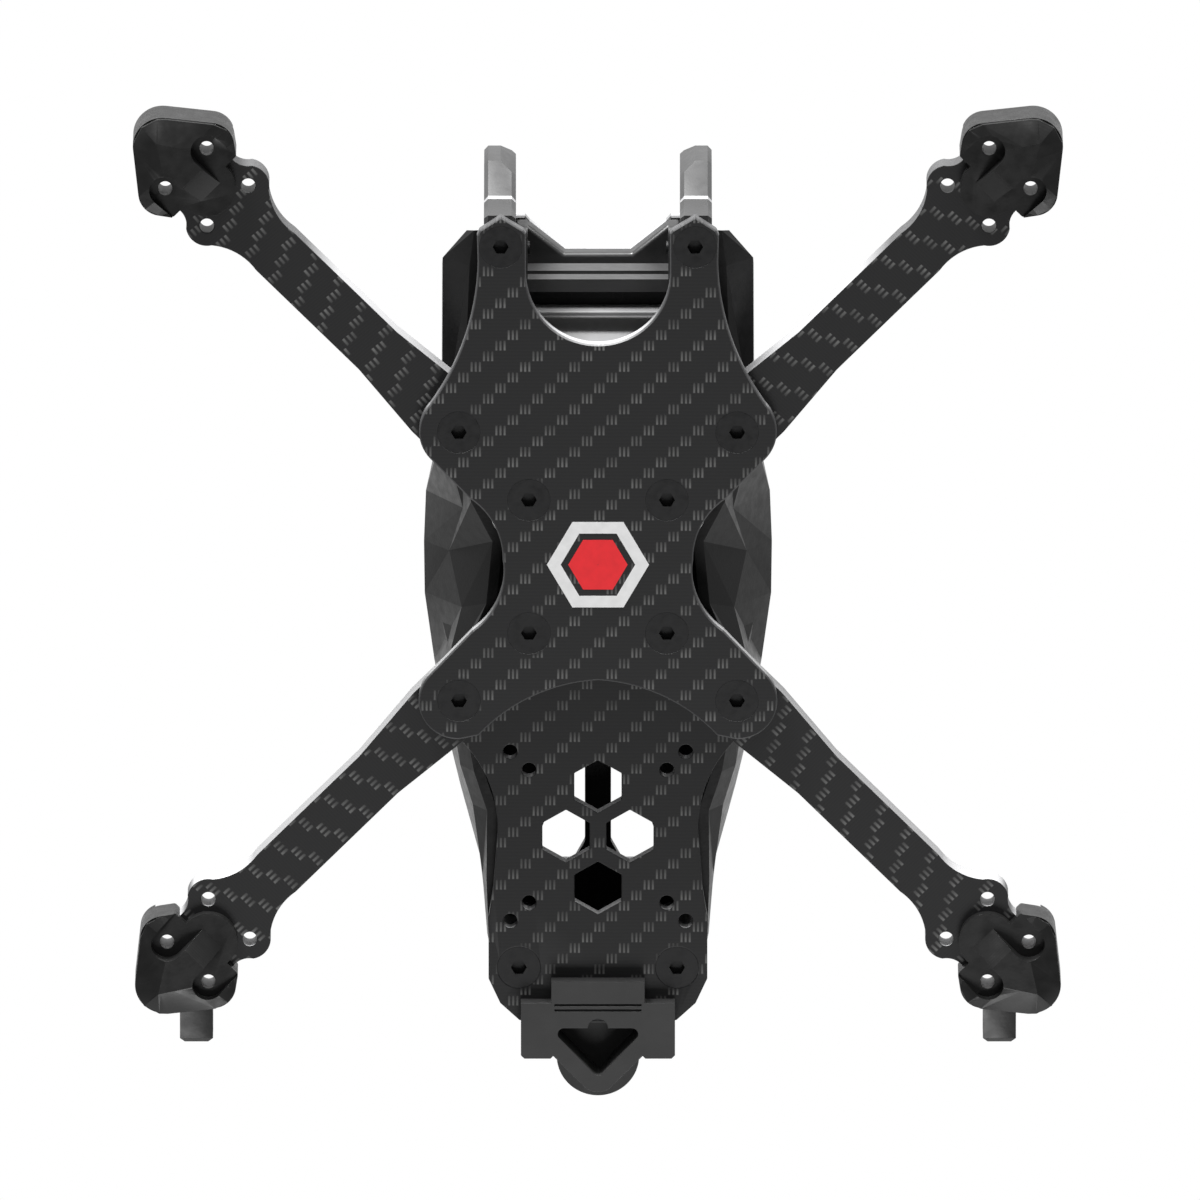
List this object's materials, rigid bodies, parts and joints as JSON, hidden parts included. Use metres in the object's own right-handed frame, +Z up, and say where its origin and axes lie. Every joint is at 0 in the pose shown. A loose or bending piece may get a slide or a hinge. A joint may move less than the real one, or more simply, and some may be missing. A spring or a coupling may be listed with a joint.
{
  "type": "quadcopter airframe",
  "caption": "Bare racing quadcopter airframe: carbon plates and arms, printed motor guards, faceted side panels, tilting camera cradle and a tail antenna mount.",
  "frame": {"origin": "middle of the four motor centres, on the belly plane (underside of the bottom plate)", "axes": "+Z up, -Y towards the nose, +X towards the craft's left"},
  "size_m": [0.1344, 0.1494, 0.035],
  "materials": {
    "carbon": "satin twill-weave carbon fibre, 2 mm and 4 mm plate",
    "cradle_nylon": "fine-grained moulded nylon",
    "guard_tpu": "matte black printed elastomer",
    "mount_tpu": "matte dark grey printed elastomer",
    "bulkhead_plastic": "fine-grained moulded plastic",
    "panel_plastic": "satin moulded plastic",
    "pad_rubber": "ribbed non-slip rubber",
    "plain_steel": "zinc plated",
    "black_steel": "black oxide",
    "nose_aluminium": "bead-blasted dark grey anodise",
    "standoff_aluminium": "black anodised, satin"
  },
  "bodies": {
    "frame": {"antenna_mount": "mount_tpu", "arm_front_left": "carbon", "arm_front_right": "carbon", "arm_rear_left": "carbon", "arm_rear_right": "carbon", "arm_screws": "black_steel", "battery_pad": "pad_rubber", "bottom_plate": "carbon", "camera_side_plate_left": "nose_aluminium", "camera_side_plate_right": "nose_aluminium", "cradle_washers": "guard_tpu", "deck_screws": "black_steel", "front_bridge": "bulkhead_plastic", "front_bulkhead": "bulkhead_plastic", "front_standoff_left": "standoff_aluminium", "front_standoff_right": "standoff_aluminium", "mid_plate": "carbon", "motor_guard_front_left": "guard_tpu", "motor_guard_front_right": "guard_tpu", "motor_guard_rear_left": "guard_tpu", "motor_guard_rear_right": "guard_tpu", "nose_screws": "black_steel", "pivot_screw_left": "black_steel", "pivot_screw_right": "black_steel", "press_nuts": "plain_steel", "rear_standoff_left": "standoff_aluminium", "rear_standoff_right": "standoff_aluminium", "side_panel_left": "panel_plastic", "side_panel_right": "panel_plastic", "stack_nuts": "black_steel", "stack_screws": "black_steel", "tail_screws": "black_steel", "top_plate": "carbon"},
    "cradle": {"camera_cradle": "cradle_nylon"}
  },
  "joints": [
    {"name": "cradle_tilt", "type": "hinge", "parent": "frame", "child": "cradle", "pos_m": [0, -0.043, 0.018], "axis": [-1, 0, 0], "range_deg": [-10, 35]}
  ]
}
